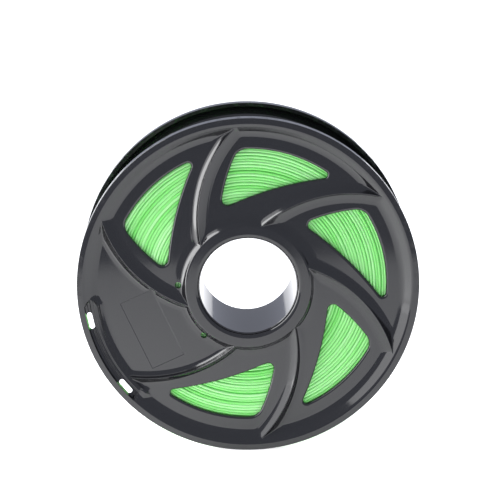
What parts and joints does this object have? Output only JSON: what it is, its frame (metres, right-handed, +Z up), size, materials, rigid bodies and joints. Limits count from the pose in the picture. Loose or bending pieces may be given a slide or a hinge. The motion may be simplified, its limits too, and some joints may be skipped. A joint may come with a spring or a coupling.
{
  "type": "filament spool",
  "caption": "Full spool of green printing filament: glossy black flanges with swirl ridges and curved windows on a hollow hub core.",
  "frame": {"origin": "middle of the hub bore, halfway between the two rim faces", "axes": "+Y along the spool's axis from the front flange to the back flange, +Z up as the spool stands on its rims, +X to the right seen from the front"},
  "size_m": [0.2, 0.062, 0.2],
  "materials": {
    "flange_black": "glossy injection-moulded black, lightly scuffed along the rim",
    "core_black": "glossy injection-moulded black",
    "filament_green": "satin light green strand"
  },
  "bodies": {
    "root": {"front_flange": "flange_black", "back_flange": "flange_black", "hub_core": "core_black", "filament_winding": "filament_green"}
  },
  "joints": []
}
